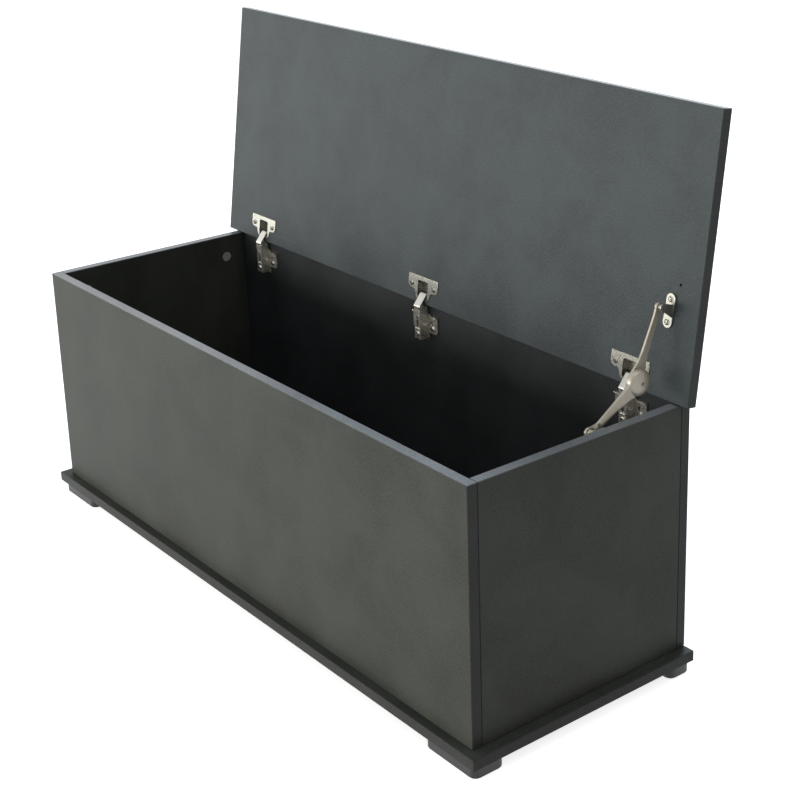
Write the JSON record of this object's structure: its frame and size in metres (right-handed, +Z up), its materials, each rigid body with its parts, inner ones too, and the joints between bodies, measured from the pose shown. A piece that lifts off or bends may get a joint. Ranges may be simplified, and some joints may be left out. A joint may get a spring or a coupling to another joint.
{
  "type": "storage chest",
  "caption": "Long low storage chest of melamine-faced board on corner feet, with a top-hung lid on concealed hinges and a folding lid stay.",
  "frame": {"origin": "middle of the bounding box's bottom, on the floor, with the lid open", "axes": "+X along the chest towards its right end, where the stay is, +Y to its back and +Z up"},
  "size_m": [1, 0.3899, 0.7025],
  "materials": {
    "board": "melamine-faced board with a fine texture",
    "foot_plastic": "moulded, matt",
    "nickel": "nickel-plated",
    "satin_nickel": "satin nickel",
    "screw_steel": "nickel-plated",
    "zinc": "cast, dull"
  },
  "bodies": {
    "carcass": {"back_panel": "board", "base_board": "board", "cam_bolt_left_back_bottom": "screw_steel", "cam_bolt_left_back_top": "screw_steel", "cam_bolt_left_front_bottom": "screw_steel", "cam_bolt_left_front_top": "screw_steel", "cam_bolt_right_back_bottom": "screw_steel", "cam_bolt_right_back_top": "screw_steel", "cam_bolt_right_front_bottom": "screw_steel", "cam_bolt_right_front_top": "screw_steel", "cam_lock_left_back_bottom": "zinc", "cam_lock_left_back_top": "zinc", "cam_lock_left_front_bottom": "zinc", "cam_lock_left_front_top": "zinc", "cam_lock_right_back_bottom": "zinc", "cam_lock_right_back_top": "zinc", "cam_lock_right_front_bottom": "zinc", "cam_lock_right_front_top": "zinc", "foot_back_left": "foot_plastic", "foot_back_right": "foot_plastic", "foot_front_left": "foot_plastic", "foot_front_right": "foot_plastic", "front_panel": "board", "hinge_arm_left": "nickel", "hinge_arm_middle": "nickel", "hinge_arm_right": "nickel", "hinge_plate_left": "nickel", "hinge_plate_middle": "nickel", "hinge_plate_right": "nickel", "left_side_panel": "board", "plate_screw_left_1": "screw_steel", "plate_screw_left_2": "screw_steel", "plate_screw_middle_1": "screw_steel", "plate_screw_middle_2": "screw_steel", "plate_screw_right_1": "screw_steel", "plate_screw_right_2": "screw_steel", "right_side_panel": "board", "stay_side_bracket": "satin_nickel"},
    "lid": {"cup_screw_left_1": "screw_steel", "cup_screw_left_2": "screw_steel", "cup_screw_middle_1": "screw_steel", "cup_screw_middle_2": "screw_steel", "cup_screw_right_1": "screw_steel", "cup_screw_right_2": "screw_steel", "hinge_cup_left": "nickel", "hinge_cup_middle": "nickel", "hinge_cup_right": "nickel", "lid_panel": "board", "stay_lid_bracket": "satin_nickel"},
    "hinge_inner_links": {"hinge_inner_link_left": "nickel", "hinge_inner_link_middle": "nickel", "hinge_inner_link_right": "nickel"},
    "hinge_outer_links": {"hinge_outer_link_left": "nickel", "hinge_outer_link_middle": "nickel", "hinge_outer_link_right": "nickel"},
    "stay_lower": {"stay_hub_cap": "satin_nickel", "stay_lower_arm": "satin_nickel"},
    "stay_upper": {"stay_upper_arm": "satin_nickel"}
  },
  "joints": [
    {"name": "inner_links_turn", "type": "hinge", "parent": "carcass", "child": "hinge_inner_links", "pos_m": [0, 0.13623, 0.35012], "axis": [1, 0, 0], "range_deg": [-50.11, 0]},
    {"name": "lid_turn", "type": "hinge", "parent": "hinge_inner_links", "child": "lid", "pos_m": [0, 0.13718, 0.36339], "axis": [1, 0, 0], "range_deg": [0, 147.9]},
    {"name": "outer_links_turn", "type": "hinge", "parent": "carcass", "child": "hinge_outer_links", "pos_m": [0, 0.12775, 0.35316], "axis": [1, 0, 0], "range_deg": [-22.26, 0]},
    {"name": "stay_lower_turn", "type": "hinge", "parent": "carcass", "child": "stay_lower", "pos_m": [0, 0.01751, 0.3466], "axis": [1, 0, 0], "range_deg": [-137.52, 0]},
    {"name": "stay_upper_turn", "type": "hinge", "parent": "lid", "child": "stay_upper", "pos_m": [0, 0.13112, 0.4702], "axis": [1, 0, 0], "range_deg": [-110.91, 0]}
  ],
  "couplings": [
    {"joint": "inner_links_turn", "follows": "lid_turn", "ratio": -0.33877},
    {"joint": "outer_links_turn", "follows": "lid_turn", "ratio": -0.15048},
    {"joint": "stay_lower_turn", "follows": "lid_turn", "ratio": -0.92974},
    {"joint": "stay_upper_turn", "follows": "lid_turn", "ratio": -0.74982}
  ]
}
